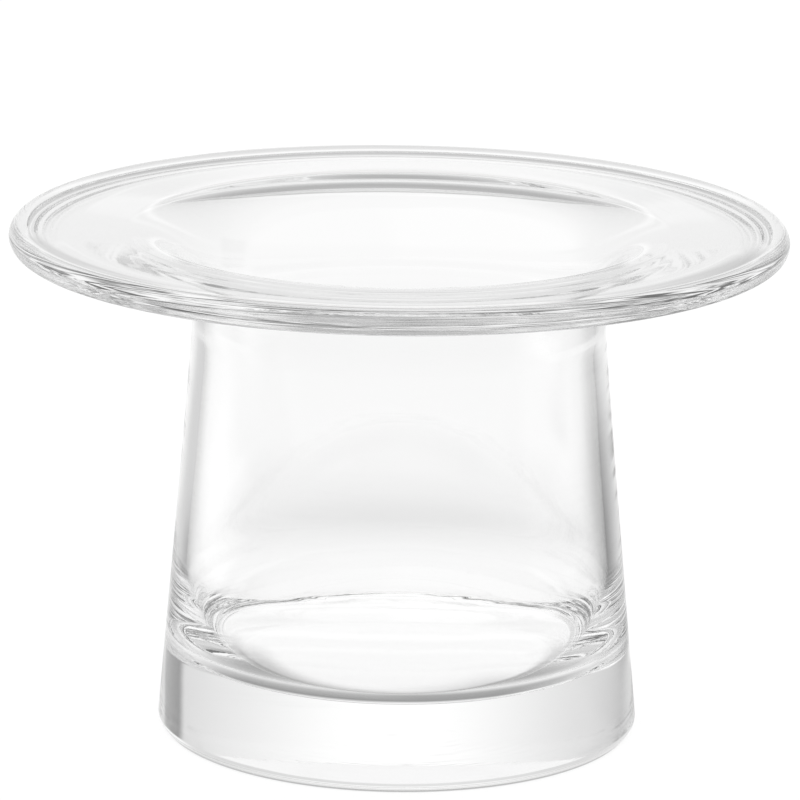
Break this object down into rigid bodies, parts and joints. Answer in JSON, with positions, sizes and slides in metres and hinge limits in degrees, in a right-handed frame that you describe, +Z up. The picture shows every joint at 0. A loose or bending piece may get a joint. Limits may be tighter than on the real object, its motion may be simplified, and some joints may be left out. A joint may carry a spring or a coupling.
{
  "type": "vase lantern",
  "caption": "Clear glass hat-shaped vase lantern: tapering body with a thick solid base, open at the top, with a wide level brim that ends in a round rim.",
  "frame": {"origin": "middle of the foot, on the surface that the lantern stands on", "axes": "+Z up, along the axis that the glass is turned about; +X and +Y are level and alike, because the object is round"},
  "size_m": [0.24, 0.24, 0.16],
  "materials": {
    "clear_glass": "clear colourless soda-lime glass, fire polished all over"
  },
  "bodies": {
    "root": {"glass_vessel": "clear_glass"}
  },
  "joints": []
}
